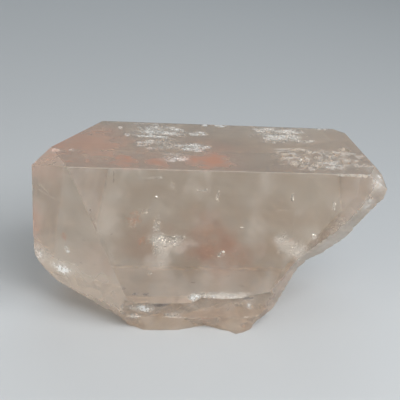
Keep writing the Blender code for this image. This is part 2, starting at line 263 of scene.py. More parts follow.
# Clouds of bubbles: middle, half sizes of the sheet along, up and through, how many, size of one, how
# much it clumps from 0 to 1, and the sheet's turns about X and Z in degrees if it has any
FRONT_VEILS = (
    ((20.2, 4.1, 21.1), (2, 1.1, 0.5), 1650, 0.19, 0.55, (20, 12)),
    ((22.9, 4.3, 20.5), (2.1, 1, 0.5), 1200, 0.18, 0.55, (-25, -14)),
    ((19.9, 3.9, 19.2), (1, 1.6, 0.4), 900, 0.17, 0.45, (10, 20)),
    ((20.9, 3.9, 17.9), (1.8, 2, 0.4), 1650, 0.12, 0.25, (10, 30)),
    ((19.4, 5, 24.2), (0.9, 2.2, 0.5), 260, 0.15, 0.7, (15, -20)),
    ((16.6, 6.2, 26.6), (1.5, 0.8, 0.5), 150, 0.14, 0.6, (0, 20)),
    ((21.8, 4.8, 21.6), (4.2, 2.4, 1), 2250, 0.08, 0.3, (30, 0)),
    ((25, 4.6, 21.4), (1.8, 0.7, 0.5), 300, 0.12, 0.5, (0, 6)),
    ((26.5, 3.8, 17.2), (2.6, 0.5, 0.4), 160, 0.08, 0.5, (0, -6)),
    ((14.6, 6, 24.6), (1.6, 1.8, 0.6), 160, 0.12, 0.6, (10, 15)),
    ((21.6, 2.2, 33), (1.3, 1.6, 0.5), 260, 0.11, 0.5, (10, 10)),
    ((28.4, 2.7, 32.6), (1.5, 0.35, 0.3), 240, 0.12, 0.5),
    ((31.6, 2.6, 31.4), (0.4, 1.5, 0.3), 110, 0.12, 0.6),
    ((33.5, 2.8, 18.1), (0.9, 0.7, 0.4), 110, 0.12, 0.6, (0, 30)),
    ((32.8, -0.9, 9.5), (5.2, 0.8, 0.25), 2100, 0.15, 0.45),
    ((39, -0.8, 9.6), (2.8, 0.6, 0.25), 800, 0.14, 0.55),
    ((28.2, -0.8, 9.2), (1.3, 0.9, 0.3), 520, 0.17, 0.5),
    ((29.34, 0.25, 5.54), (2.6, 1.3, 0.3), 600, 0.1, 0.3, (-15, 0)),
    ((16.84, 0.05, 5.84), (2.3, 1.2, 0.3), 1050, 0.17, 0.6, (-15, -6)),
    ((20.8, 4.2, 20.6), (2.9, 1.5, 0.5), 2200, 0.11, 0.35, (10, 0)),
)
RIGHT_VEILS = (
    ((46.3, 3, 22), (1.5, 1.3, 0.5), 1300, 0.16, 0.1, (12, 15)),
    ((50, 2.8, 19.4), (2.4, 1.7, 0.7), 1200, 0.17, 0.7, (-15, -10)),
    ((47.4, 2.8, 18.9), (1.7, 0.6, 0.4), 280, 0.11, 0.6, (0, 10)),
    ((48.6, 3.4, 20.6), (3.8, 2.6, 0.7), 900, 0.08, 0.3),
    ((53.6, 2.1, 22.8), (0.9, 0.8, 0.4), 280, 0.14, 0.5, (0, -15)),
    ((47.9, 3.5, 31.1), (0.4, 0.9, 0.3), 170, 0.15, 0.5),
    ((57.2, 2.4, 29.6), (0.4, 1.4, 0.3), 200, 0.15, 0.6, (0, -20)),
    ((48.6, 1.6, 26), (0.25, 8.5, 0.2), 500, 0.07, 0.4),
    ((50, 2.9, 19.6), (2.6, 1.9, 0.5), 1500, 0.12, 0.55, (-15, -10)),
    ((60.4, 2.4, 24.6), (3.2, 2.6, 0.4), 700, 0.12, 0.65, (30, -20)),
    ((64.6, 2.4, 31), (0.8, 1.8, 0.4), 320, 0.12, 0.6, (20, -20)),
)
TOP_VEILS = (
    ((21, 25.6, 36.7), (5.4, 3.4, 0.35), 1300, 0.16, 0.55, (90, 0)),
    ((23, 15.6, 36.4), (5.6, 4.6, 0.35), 900, 0.16, 0.6, (90, 20)),
    ((49.6, 26.6, 36.9), (4.6, 3.2, 0.2), 900, 0.17, 0.5, (90, -12)),
)
LEFT_VEILS = (
    ((0.6, 9.1, 11.6), (3.6, 1.3, 0.5), 2400, 0.16, 0.45, (-20, -38)),
    ((0.5, 9, 11), (0.9, 0.5, 0.3), 500, 0.18, 0.2, (-20, -38)),
    ((-2.9, 11.2, 13.6), (1.9, 1.8, 0.5), 900, 0.13, 0.6, (-15, -38)),
    ((3.4, 6.6, 12.7), (1.9, 0.5, 0.3), 420, 0.13, 0.5, (-10, -38)),
    ((1, 6.9, 16.7), (0.35, 0.6, 0.3), 120, 0.14, 0.3, (0, -38)),
    ((5.8, 4.9, 13.8), (2.6, 2.2, 0.6), 500, 0.09, 0.5, (0, -38)),
)

# Lines of bubbles: the two ends, how far they stray, how many, size of one
FRONT_LINES = (
    ((18.6, 3.9, 20.2), (19.3, 3.7, 15.6), 0.1, 150, 0.1),
    ((45.1, 3.4, 28.2), (48.5, 3.4, 28.3), 0.06, 90, 0.08),
    ((56.4, 2.4, 27.7), (56.2, 2.2, 24.9), 0.08, 100, 0.09),
    ((16.5, 1.1, 35.3), (19.4, 1.1, 35.5), 0.14, 180, 0.11),
    ((56.5, 0.5, 37.15), (64.4, 0.6, 37), 0.14, 520, 0.1),
    ((26, 3.8, 17.2), (29.5, 3.6, 16.2), 0.08, 60, 0.07),
)
LEFT_LINES = (
    ((5.6, 2.6, 26.3), (11.5, 1.5, 15.1), 0.14, 420, 0.1),
    ((-5.1, 8.2, 29.9), (-0.6, 5.1, 28.4), 0.1, 160, 0.08),
    ((-4.9, 7.6, 31.4), (-2.9, 6.5, 29.8), 0.12, 140, 0.09),
)

# Rust coloured dust: the columns of the clouds of bubbles
RUST_CLOUDS = (
    ((14.6, 6.4, 24.8), (1.7, 2, 0.6), 500, 0.13, 0.5, (10, 15)),
    ((16.6, 7.8, 19.6), (1.6, 1.2, 0.6), 240, 0.12, 0.4, (0, 20)),
    ((30.8, 11, 21.2), (2.8, 2, 0.6), 330, 0.12, 0.35),
    ((31.9, 10.7, 17), (2.6, 2.8, 0.6), 480, 0.12, 0.3),
    ((37.6, 10.6, 15.8), (3.4, 3.2, 0.6), 420, 0.12, 0.25),
    ((49, 4, 20.8), (0.9, 0.9, 0.4), 90, 0.12, 0.3),
    ((0.9, 7.4, 19.7), (0.8, 1.2, 0.3), 190, 0.13, 0.3, (0, -38)),
    ((-4.6, 11.8, 19.6), (1.1, 3.4, 0.3), 330, 0.11, 0.3, (0, -38)),
    ((17.34, 0.45, 5.74), (1.4, 0.8, 0.2), 80, 0.11, 0.3, (-15, -6)),
)

# Dark grains, which don't clump unless their row says so: the same columns for clouds and for lines
GRAIN_CLOUDS = (
    ((5.1, 0.5, 28.2), (0.2, 0.2, 0.15), 16, 0.17),
    ((-0.7, 4.8, 28.1), (0.3, 0.25, 0.15), 8, 0.11),
    ((4.9, 3.9, 20.3), (0.7, 0.2, 0.15), 16, 0.11, 0, (0, 20)),
    ((9.8, 1.1, 22.8), (0.4, 0.3, 0.15), 12, 0.11),
    ((4.4, 5.1, 14.3), (0.5, 0.15, 0.15), 14, 0.12, 0, (0, -38)),
    ((6.9, 2.7, 15.3), (0.8, 0.5, 0.15), 16, 0.1, 0, (0, -38)),
    ((12.9, 0.2, 10.7), (0.6, 0.3, 0.15), 22, 0.16),
    ((15.3, -0.5, 9.7), (0.5, 0.3, 0.15), 38, 0.2),
    ((17.7, -0.5, 9.5), (0.5, 0.25, 0.15), 41, 0.2),
    ((12.84, 0.25, 6.34), (0.5, 0.3, 0.15), 41, 0.21),
    ((17.84, 0.25, 5.54), (0.8, 0.7, 0.15), 57, 0.18),
    ((15.44, 0.35, 3.84), (0.8, 0.2, 0.15), 28, 0.17),
    ((20.94, -0.45, 6.94), (1.35, 0.3, 0.12), 144, 0.21),
    ((40.2, -0.3, 8.6), (1.4, 0.22, 0.12), 96, 0.2),
    ((39.74, -0.35, 1.94), (0.6, 0.3, 0.12), 41, 0.18),
    ((27.7, 0.7, 12), (0.7, 0.3, 0.12), 14, 0.11),
    ((35.4, 1.7, 15.6), (0.5, 1.1, 0.12), 18, 0.12),
    ((35.4, 1.6, 13.4), (0.7, 0.4, 0.12), 14, 0.11),
    ((43.8, -0.6, 10.1), (1, 0.25, 0.12), 32, 0.14),
    ((50.6, 3.2, 20.6), (0.9, 0.6, 0.2), 24, 0.12),
    ((46, 3, 19.6), (0.3, 0.2, 0.2), 10, 0.12),
    ((64, 17.2, 36.7), (0.6, 0.5, 0.12), 26, 0.15, 0, (90, 0)),
    ((20.9, -0.35, 6.5), (1.35, 0.3, 0.12), 110, 0.18),
    ((20.9, -0.57, 6.92), (1.7, 0.22, 0.05), 420, 0.09),
    ((40.1, -0.6, 8.5), (1.8, 0.18, 0.05), 260, 0.09),
    ((39.8, -0.12, 1.84), (0.8, 0.34, 0.05), 120, 0.09),
    ((17.9, -0.06, 5.26), (1.3, 0.3, 0.05), 220, 0.08),
    ((17.6, -0.1, 5.1), (1.2, 0.5, 0.12), 60, 0.15),
)
GRAIN_LINES = (
    ((9.4, 0.4, 36.8), (9.5, 0.3, 34.4), 0.07, 44, 0.12),
    ((8.5, 0.35, 36.9), (8.5, 0.3, 35.6), 0.03, 16, 0.08),
    ((8, 0.35, 36.9), (8, 0.3, 35.4), 0.03, 16, 0.08),
    ((7.6, 0.35, 36.9), (7.7, 0.3, 35.2), 0.03, 16, 0.08),
    ((30.6, -0.3, 8.5), (36.3, -0.3, 8.5), 0.08, 110, 0.1),
    ((22.6, 0.1, 6.7), (27.6, 0.1, 7.4), 0.05, 50, 0.08),
)

# How flat the grains are, and which way they face: azimuth, elevation and stray in degrees
GRAIN_FLATNESS = 0.3
FRONT_LOOK = (-85.0, 20.0, 15.0)
TOP_LOOK = (-88.0, 66.0, 16.0)
LEFT_LOOK = (-108.0, 10.0, 16.0)

# Which way cleavage flakes face to shine at the camera, seen through each face: azimuth and elevation
FRONT_GLINT = (-87.0, 21.0)
LEFT_GLINT = (-106.0, 12.0)
TOP_GLINT = (-98.0, 84.0)

# Flat cleavage flakes: middle, half sizes, how far they stray from their glint in degrees, how many,
# length of one, and their own glint if they have one
FRONT_FLAKES = (
    ((21.2, 4.1, 20.7), (2.6, 0.4, 1.1), 11, 420, 0.17),
    ((19.8, 4, 19), (0.9, 0.4, 1.8), 11, 220, 0.17),
    ((50.6, 2.8, 19.2), (1.8, 0.4, 1.2), 13, 260, 0.15),
    ((19.5, 4, 21.1), (0.7, 0.3, 0.5), 14.3, 164, 0.17),
    ((20.6, 4, 20.6), (0.9, 0.3, 0.4), 14.3, 138, 0.17),
    ((22.7, 4, 20.3), (0.8, 0.3, 0.6), 14.3, 192, 0.16),
    ((19.8, 3.9, 18.9), (0.6, 0.3, 1.1), 15.6, 192, 0.17),
    ((19.4, 5, 23.8), (0.8, 0.4, 1.2), 16.9, 164, 0.13),
    ((24.6, 4.8, 21.2), (0.9, 0.3, 0.5), 16.9, 122, 0.11),
    ((16.6, 6.2, 26.7), (1, 0.3, 0.5), 16.9, 31, 0.17),
    ((18.9, 4.5, 30.5), (0.15, 0.1, 0.15), 9.1, 12, 0.19),
    ((14.4, 6.1, 24.4), (0.6, 0.3, 1.3), 16.9, 164, 0.09),
    ((33.9, 2.8, 18.6), (0.3, 0.2, 0.2), 9.1, 19, 0.21),
    ((33.1, 2.8, 17.7), (0.2, 0.2, 0.2), 9.1, 15, 0.21),
    ((28.2, 2.7, 32.6), (1, 0.2, 0.2), 13, 27, 0.19),
    ((31.6, 2.6, 31.4), (0.3, 0.2, 1.3), 13, 24, 0.16),
    ((37.4, 2.2, 24.5), (0.35, 0.1, 0.05), 9.1, 12, 0.17),
    ((18.5, 1.6, 13.8), (0.4, 0.1, 0.1), 9.1, 15, 0.16),
    ((47.9, 3.5, 31.2), (0.25, 0.2, 0.7), 11.7, 27, 0.21),
    ((57.2, 2.5, 29.7), (0.25, 0.2, 0.9), 11.7, 31, 0.22),
    ((59.7, 1.5, 27.2), (0.12, 0.1, 0.12), 9.1, 12, 0.19),
    ((53.6, 2.1, 22.8), (0.6, 0.3, 0.6), 14.3, 92, 0.14),
    ((51, 2.8, 18.9), (1.3, 0.3, 0.9), 16.9, 278, 0.13),
    ((46.8, 3, 21.9), (0.9, 0.3, 0.8), 16.9, 138, 0.11),
    ((47, 2.8, 18.8), (1.4, 0.3, 0.3), 16.9, 110, 0.09),
)
LEFT_FLAKES = (
    ((0.6, 9.2, 11.3), (0.5, 0.3, 0.2), 12, 180, 0.2),
    ((1.2, 7.1, 16.6), (0.2, 0.2, 0.4), 10, 18, 0.22),
    ((3, 6.6, 13), (1, 0.6, 0.3), 16, 120, 0.13),
    ((-3, 11.6, 12.2), (0.6, 0.4, 0.5), 18, 120, 0.13),
)
BREAK_FLAKES = (
    ((27.9, -0.9, 9.1), (0.7, 0.25, 0.7), 31.2, 140, 0.13),
    ((29.9, -0.9, 9.9), (0.5, 0.25, 0.3), 31.2, 34, 0.19),
    ((34.5, -0.9, 9.5), (3.4, 0.2, 0.5), 33.8, 170, 0.13),
    ((17.64, -0.05, 6.04), (0.9, 0.3, 0.9), 18, 210, 0.16, (-84, 10)),
    ((15.24, -0.05, 6.24), (0.9, 0.3, 0.5), 20, 108, 0.12, (-84, 10)),
    ((15.34, 0.35, 3.74), (0.7, 0.2, 0.2), 18, 36, 0.18, (-84, 39)),
    ((40.54, -0.35, 6.84), (0.3, 0.2, 0.3), 16, 15, 0.18),
    ((23.54, 0.65, 3.94), (1.3, 0.2, 0.4), 20, 36, 0.15, (-84, 30)),
    ((58.6, 2.8, 21.8), (2.6, 0.3, 2.4), 20, 180, 0.12, (-70, 4)),
    ((52.4, 2, 17.6), (2.4, 0.4, 1.6), 20, 120, 0.11, (-70, 2)),
    ((64.8, 2, 30.4), (0.8, 0.3, 1.2), 18, 36, 0.18, (-79, 7)),
    ((46, 0.6, 10.4), (0.6, 0.2, 0.2), 26, 19, 0.15, (-80, 20)),
)
TOP_FLAKES = (
    ((19.9, 22.3, 36.9), (3.3, 0.25, 0.06), 2.5, 69, 0.6),
    ((20.6, 26.4, 36.8), (2.8, 2.6, 0.15), 6, 90, 0.62),
    ((26, 27, 36.8), (2.4, 1.6, 0.15), 7, 39, 0.5),
    ((29.8, 24.8, 36.9), (1, 0.8, 0.06), 3, 39, 0.55),
    ((27.2, 15.6, 36.7), (1.9, 1.3, 0.1), 5, 60, 0.6),
    ((22.4, 8.6, 36.6), (1.6, 1.2, 0.1), 5, 45, 0.58),
    ((18.4, 28.4, 36.9), (1.5, 1, 0.1), 6, 24, 0.45),
    ((13.1, 27.5, 37), (0.4, 1.2, 0.06), 5, 12, 0.36),
    ((14.2, 22.5, 37), (0.6, 1.2, 0.06), 5, 12, 0.36),
    ((20.8, 16.2, 36.7), (3, 2.6, 0.12), 9, 39, 0.42),
    ((49.9, 26.6, 37), (3.8, 2.6, 0.08), 9, 90, 0.45),
    ((54, 9.5, 36.7), (6, 4.6, 0.15), 16, 90, 0.34, (-98, 80)),
    ((-1.6, 9.6, 36.9), (0.7, 0.6, 0.05), 6, 30, 0.36),
    ((33.6, 31.4, 37.1), (0.4, 0.3, 0.05), 6, 12, 0.36),
    ((37.2, 31.5, 37.1), (1, 0.3, 0.05), 6, 22, 0.34),
    ((60.6, 0.6, 37.1), (3.6, 0.2, 0.1), 24, 50, 0.13, (-90, 50)),
)
FLAKE_TABLES = (
    (FRONT_GLINT, FRONT_FLAKES),
    (LEFT_GLINT, LEFT_FLAKES),
    (FRONT_GLINT, BREAK_FLAKES),
    (TOP_GLINT, TOP_FLAKES),
)
FLAKE_THICKNESS = 0.03
LEAST_DEPTH = 0.06     # how far under the surface a speck or flake stays, besides a share of its size

# Colours of the clear crystal: where it is clean; milky; worn, and painted bluish white for highlights and
# reflections; stained with iron, and painted rosy for a reflection
CLEAN_COLOUR = (0.96, 0.94, 0.90, 1.0)
MILKY_COLOUR = (0.70, 0.50, 0.32, 1.0)
WORN_AND_HIGHLIGHT_COLOUR = (0.90, 0.93, 0.94, 1.0)
IRON_AND_REFLECTION_COLOUR = (0.86, 0.47, 0.34, 1.0)

# How light passes the crystal, and how much of it full wear with its painted highlights and full stain
# with its painted rosy reflection hold back
TOPAZ_IOR = 1.62
TRANSMISSION = 0.94
WEAR_AND_HIGHLIGHT_HIDES = 0.6
STAIN_AND_REFLECTION_HIDES = 0.28
ABSORPTION_COLOUR = (0.64, 0.39, 0.08, 1.0)
ABSORPTION_DENSITY = 22.0

# Roughness of clean faces, from least to most, what full frost and full wear with its painted highlights
# add, and the fine pits' depth
CLEAN_ROUGHNESS = (0.10, 0.17)
FROST_ROUGHNESS = 0.75
WEAR_AND_HIGHLIGHT_ROUGHNESS = 0.3
PIT_DEPTH = 0.00006

# Places of the factor, the two colours and the result among a Mix node's sockets
MIX_FACTOR = 0
MIX_LOW = 6
MIX_HIGH = 7
MIX_RESULT = 2

# The paper, in metres: air left under the crystal, so that its base isn't the same surface as the paper,
# how far the sheet runs to each side, where its floor starts and ends, and its curve up into a wall
FLOOR_GAP = 0.00004
FLOOR_SIDE = 3.0
FLOOR_FRONT = -3.0
FLOOR_BACK = 0.9
CURVE_RADIUS = 0.5
CURVE_STEPS = 24
WALL_TOP = 1.6
PAPER_COLOUR = (0.62, 0.645, 0.665, 1.0)

# Lamps, in metres: name, place, the point that it faces, its two sides, power in watts, colour
LAMPS = (
    ("window", (0.06, 0.50, 0.54), (0.0, 0.0, 0.03), (0.55, 0.34), 0.95, (0.88, 0.95, 1.0)),
    ("key", (0.15, -0.28, 0.30), (0.02, -0.02, 0.01), (0.42, 0.24), 1.70, (1.0, 1.0, 1.0)),
    ("reflector", (-0.38, -0.26, 0.08), (0.0, 0.0, 0.02), (0.50, 0.15), 1.3, (1.0, 0.95, 0.88)),
)
SURROUND_COLOUR = (0.90, 0.93, 0.94, 1.0)
SURROUND_STRENGTH = 0.23

# The camera, as in the photograph, its place in the crystal's millimetres and its angles in degrees
CAMERA_PLACE = (-10.19, -189.86, 105.33)
CAMERA_AZIMUTH = -11.265
CAMERA_ELEVATION = 21.0
CAMERA_ROLL = 5.305
CAMERA_LENS = 90.0
CAMERA_SENSOR = 36.0
CAMERA_CLIP = 0.01


def direction(azimuth, elevation):
    """Unit vector for an azimuth from +X toward +Y and an elevation toward +Z, in degrees."""
    a = math.radians(azimuth)
    e = math.radians(elevation)
    return Vector((math.cos(a) * math.cos(e), math.sin(a) * math.cos(e), math.sin(e)))


def clamp(value):
    """The value, held between 0 and 1."""
    return min(1.0, max(0.0, value))


def ramp(value, start, length):
    """From 0 at the start to 1 a length further on, or further back if the length is negative."""
    return clamp((value - start) / length)


def wave(x, y, z):
    """Smooth noise at a point, about -1 to 1."""
    return noise.noise(Vector((x, y, z)))


def cell_distance(x, y, z):
    """Distance from a point to the nearest of many scattered ones."""
    return noise.voronoi(Vector((x, y, z)))[0][0]


def half_sizes_away(p, middle, half):
    """How far a point is from a middle, in half sizes."""
    return Vector([(a - b) / c for a, b, c in zip(p, middle, half)]).length


def to_model(bm):
    """Move a bmesh from working millimetres to the model's frame, in metres."""
    bmesh.ops.transform(bm, matrix=Matrix.Scale(MM, 4) @ Matrix.Translation(-MIDDLE), verts=bm.verts[:])


def add_object(name, data):
    """An object for a mesh, lamp or camera, in the scene."""
    obj = bpy.data.objects.new(name, data)
    bpy.context.scene.collection.objects.link(obj)
    return obj


def mesh_object(name, bm):
    """Object from a bmesh, with its faces turned outward."""
    bmesh.ops.recalc_face_normals(bm, faces=bm.faces)
    mesh = bpy.data.meshes.new(name)
    bm.to_mesh(mesh)
    bm.free()
    return add_object(name, mesh)


# The crystal's shape. A factor on a place that noise is taken at is a frequency per millimetre,
# and a factor on the noise itself is a height in millimetres or a share


def faceted_block():
    """The crystal before it was broken: a block cut by each flat face in turn."""
    bm = bmesh.new()
    bmesh.ops.create_cube(bm, size=BLOCK)
    for _, azimuth, elevation, point in FLAT_FACES:
        everything = bm.verts[:] + bm.edges[:] + bm.faces[:]
        cut = bmesh.ops.bisect_plane(
            bm, geom=everything, dist=1e-5, plane_co=Vector(point), plane_no=direction(azimuth, elevation),
            clear_outer=True,
        )
        rim = [item for item in cut["geom_cut"] if isinstance(item, bmesh.types.BMEdge)]
        if rim:
            bmesh.ops.edgeloop_fill(bm, edges=rim)
    return mesh_object("topaz", bm)


def along(line, count):
    """The line's points spaced evenly by length, count of them."""
    points = [Vector(p) for p in line]
    lengths = [0.0]
    for a, b in zip(points, points[1:]):
        lengths.append(lengths[-1] + (b - a).length)
    result = []
    segment = 0
    for i in range(count):
        target = lengths[-1] * i / (count - 1)
        while segment < len(points) - 2 and lengths[segment + 1] < target:
            segment += 1
        span = lengths[segment + 1] - lengths[segment]
        t = (target - lengths[segment]) / span
        result.append(points[segment].lerp(points[segment + 1], t))
    return result


def roughness(point, seed):
    """Uneven height of a broken surface at a point, about -1 to 1."""
    shifted = point + Vector((seed, seed * 1.7, -seed))
    broad = noise.noise(shifted * 0.22)
    middle = noise.noise(shifted * 0.55)
    fine = noise.noise(shifted * 1.3)
    return broad * 1.1 + middle * 0.55 + fine * 0.3


def cleavage_steps(point, seed):
    """Small treads and risers: the crystal splits across its long axis, so broken faces step along X."""
    wander = wave(point.x * 0.15, point.y * 0.35 + seed, point.z * 0.35)
    phase = point.x * 0.55 + wander * 2.2
    return (phase - math.floor(phase)) - 0.5


def fine_break(point, seed):
    """Fine relief of a broken surface: cleavage steps and small hackles."""
    shifted = point + Vector((seed * 2.0, -seed, seed))
    strength = 0.5 + 0.5 * noise.noise(shifted * 0.3)
    hackle = noise.noise(shifted * 2.6) * 0.5 + noise.noise(shifted * 5.5) * 0.25
    return cleavage_steps(point, seed) * strength * 0.30 + hackle * 0.16


def closed_sheet(name, rows, away, reach):
    """Solid between a grid of points and the same grid moved far out."""
    bm = bmesh.new()
    near = [[bm.verts.new(p) for p in row] for row in rows]
    far = [[bm.verts.new(p + away * reach) for p in row] for row in rows]
    last_row = len(rows) - 1
    last_column = len(rows[0]) - 1
    for i in range(last_row):
        for j in range(last_column):
            bm.faces.new((near[i][j], near[i + 1][j], near[i + 1][j + 1], near[i][j + 1]))
            bm.faces.new((far[i][j], far[i][j + 1], far[i + 1][j + 1], far[i + 1][j]))
    for i in range(last_row):
        for j in (0, last_column):
            bm.faces.new((near[i][j], far[i][j], far[i + 1][j], near[i + 1][j]))
    for j in range(last_column):
        for i in (0, last_row):
            bm.faces.new((near[i][j], near[i][j + 1], far[i][j + 1], far[i][j]))
    bmesh.ops.triangulate(bm, faces=bm.faces[:])
    return mesh_object(name, bm)


def broken_sheet(name, lines, steps, columns, away, reach, depth, seed, fine):
    """Cutter whose uneven face passes through the lines, with steps[i] rows from line i to the next."""
    rails = [along(line, columns) for line in lines]
    outward = Vector(away).normalized()
    rows = []
    for index, count in enumerate(steps):
        for step in range(count):
            t = step / count
            rows.append([a.lerp(b, t) for a, b in zip(rails[index], rails[index + 1])])
    rows.append(rails[-1])
    uneven = []
    for row in rows:
        heights = [roughness(p, seed) * depth + fine_break(p, seed) * fine for p in row]
        uneven.append([p + outward * height for p, height in zip(row, heights)])
    return closed_sheet(name, uneven, outward, reach)


def extended(inner, outer, amount):
    """The inner line moved on past the crystal's face, away from the outer line."""
    count = 24
    return [a + (a - b) * amount for a, b in zip(along(inner, count), along(outer, count))]


def moved(line, offset):
    """The line moved by an offset."""
    shift = Vector(offset)
    return [Vector(p) + shift for p in line]


def right_break():
    """The broken lower right corner, from the tip to the base."""
    before = extended(RIGHT_INNER, RIGHT_OUTER, 0.4)
    behind = moved(RIGHT_BACK, (1.5, 18.0, -1.0))
    return broken_sheet(
        "right_break", (before, RIGHT_INNER, RIGHT_OUTER, RIGHT_MIDDLE, RIGHT_BACK, behind),
        steps=(2, 8, 12, 18, 12), columns=118, away=(0.65, -0.40, -0.60), reach=60.0,
        depth=0.30, seed=41.0, fine=1.5,
    )


def left_break():
    """The broken lower left corner, from the left end to the base."""
    before = extended(LEFT_INNER, LEFT_OUTER, 0.5)
    behind = moved(LEFT_BACK, (2.0, 14.0, -1.0))
    return broken_sheet(
        "left_break", (before, LEFT_INNER, LEFT_OUTER, LEFT_MIDDLE, LEFT_BACK, behind),
        steps=(2, 9, 14, 14, 6), columns=70, away=(-0.60, -0.45, -0.60), reach=50.0,
        depth=0.30, seed=57.0, fine=1.0,
    )


def front_ledge():
    """The ledge at the foot of the front face: an undercut lip, a step and the edge of the base."""
    lines = (
        moved(LEDGE_EDGE, (0.0, -2.5, 0.2)),
        moved(LEDGE_EDGE, (0.0, 0.7, -0.15)),
        moved(LEDGE_STEP, (0.0, 0.07, 0.06)),
        moved(LEDGE_STEP, (0.0, 0.0, -0.1)),
        FOOT_EDGE,
        moved(FOOT_EDGE, (0.0, 0.0, -3.0)),
    )
    return broken_sheet(
        "front_ledge", lines, steps=(6, 9, 1, 9, 2), columns=100, away=(0.0, -1.0, -0.15), reach=30.0,
        depth=0.16, seed=71.0, fine=0.7,
    )


def chip(index, centre, radius, seed):
    """Cutter for a small chip, a lumpy stone shape."""
    bm = bmesh.new()
    bmesh.ops.create_icosphere(bm, subdivisions=3, radius=radius)
    for vert in bm.verts:
        swell = 1.0 + 0.35 * noise.noise(vert.co * 1.1 + Vector((seed, seed, seed)))
        vert.co = vert.co * swell + Vector(centre)
    return mesh_object(f"chip_{index}", bm)


def subtract(solid, cutter):
    """Cut the cutter out of the solid and delete the cutter."""
    modifier = solid.modifiers.new(cutter.name, "BOOLEAN")
    modifier.operation = "DIFFERENCE"
    modifier.solver = "EXACT"
    modifier.object = cutter
    graph = bpy.context.evaluated_depsgraph_get()
    result = bpy.data.meshes.new_from_object(solid.evaluated_get(graph))
    solid.modifiers.clear()
    solid.data = result
    bpy.data.objects.remove(cutter)


def flat_planes():
    """Normal and offset of each flat face, by its name."""
    planes = {}
    for name, azimuth, elevation, point in FLAT_FACES:
        normal = direction(azimuth, elevation)
        planes[name] = (normal, normal.dot(Vector(point)))
    return planes


def divide_face(bm, normal, offset, step):
    """Slice a flat face into a grid of small cells, so that its relief has points to move."""
    tangent = Vector((1.0, 0.0, 0.0)) - normal * normal.x
    if tangent.length < 0.5:
        tangent = Vector((0.0, 1.0, 0.0)) - normal * normal.y
    tangent.normalize()
    faces = [f for f in bm.faces if lies_on(f, normal, offset)]
    for axis in (tangent, normal.cross(tangent)):
        faces = slice_faces(bm, faces, axis, step)


def lies_on(face, normal, offset):
    """Whether a face lies on a plane."""
    away = abs(face.calc_center_median().dot(normal) - offset)
    return face.normal.dot(normal) > SAME_WAY and away < FACE_ON_PLANE


def slice_faces(bm, faces, axis, step):
    """Cut the faces by parallel planes a step apart and return all the pieces."""
    places = [v.co.dot(axis) for f in faces for v in f.verts]
    finished = []
    place = min(places) + step * FIRST_CUT
    while place < max(places) and faces:
        edges = {e for f in faces for e in f.edges}
        verts = {v for f in faces for v in f.verts}
        cut = bmesh.ops.bisect_plane(
            bm, geom=list(verts) + list(edges) + faces, dist=1e-4, plane_co=axis * place, plane_no=axis
        )
        pieces = [f for f in cut["geom"] if isinstance(f, bmesh.types.BMFace)]
        finished += [f for f in pieces if f.calc_center_median().dot(axis) <= place]
        faces = [f for f in pieces if f.calc_center_median().dot(axis) > place]
        place += step
    return finished + faces


def patch_fade(patch, x, y):
    """How strongly a patch of the top face shows at a point, from 0 outside it to 1."""
    u = (x - patch[0]) / (patch[1] - patch[0])
    v = (y - patch[2]) / (patch[3] - patch[2])
    if not (0.0 < u < 1.0 and 0.0 < v < 1.0):
        return 0.0
    return min(1.0, math.sin(math.pi * u) * math.sin(math.pi * v) * 2.2)


def etched_depth(x, y):
    """Depth of the etched hollows in the top face at a point."""
    depth = 0.0
    for patch in ETCHED_PATCHES:
        fade = patch_fade(patch, x, y)
        if fade > 0.0:
            deepest, seed = patch[4:]
            shifted = Vector((x * 0.42 + seed, y * 0.55 - seed, seed))
            bite = noise.noise(shifted) * 1.5 + noise.noise(shifted * 2.3) * 0.8
            cell = cell_distance(x * 0.75 + seed, y * 0.95, seed)
            depth += max(0.0, bite) * deepest * fade + max(0.0, 0.42 - cell) * 0.45 * fade
    return depth


def ripple_share(patch, x, y):
    """How much of a rippled patch shows at a point, from 0 to 1: it breaks up into islands."""
    seed = patch[5]
    island = wave(x * 0.26 - seed, y * 0.42, seed) + 0.40
    return patch_fade(patch, x, y) * clamp(island * 1.4)


def ripples(x, y):
    """Height of the rippled patches of the top face: short folds that run along the crystal."""
    height = 0.0
    for patch in RIPPLED_PATCHES:
        share = ripple_share(patch, x, y)
        if share > 0.0:
            tall, seed = patch[4:6]
            bend = wave(x * 0.30, y * 0.30, seed) * 1.2
            fold = wave(x * 0.34 + seed, (y + bend) * 1.05, seed)
            fine = wave(x * 0.95 + seed, (y + bend) * 1.9, -seed) * 0.5
            height += (fold + fine) * tall * share
    return height


def top_relief(x, y):
    """Height of the top face's relief: faint waves, lines along the crystal, ripples and hollows."""
    waves = wave(x * 0.10, y * 0.22, 3.0) * 0.05
    lines = wave(x * 0.05, y * 1.6, 9.0) * 0.012
    inland = ramp(y, 0.3, 2.0)
    return (waves + lines + ripples(x, y)) * inland - etched_depth(x, y)


def etch_pit(p):
    """Depth of the shallow etch pits of the faces behind, from 0 between them to 1."""
    reach = 0.38
    cell = cell_distance(p.x * 0.30, p.y * 0.55, p.z * 0.55)
    patch = noise.noise(p * 0.10) + 0.45
    return max(0.0, reach - cell) / reach * clamp(patch * 2.0)


def back_relief(p):
    """Depth of the relief of the faces behind: growth lines along the crystal and shallow etch pits."""
    lines = wave(p.x * 0.04, p.y * 0.7, p.z * 0.7) * 0.12
    fine = wave(p.x * 0.14, p.y * 2.0, p.z * 2.0) * 0.05
    return 0.14 + lines + fine + etch_pit(p) * 0.26


def front_relief(x, z):
    """Height of the front face's relief: very faint waves."""
    waves = wave(x * 0.09, z * 0.12, 17.0) * 0.03
    return waves * ramp(z, HEIGHT - 0.4, -2.0)


# The marks that the crystal's material reads


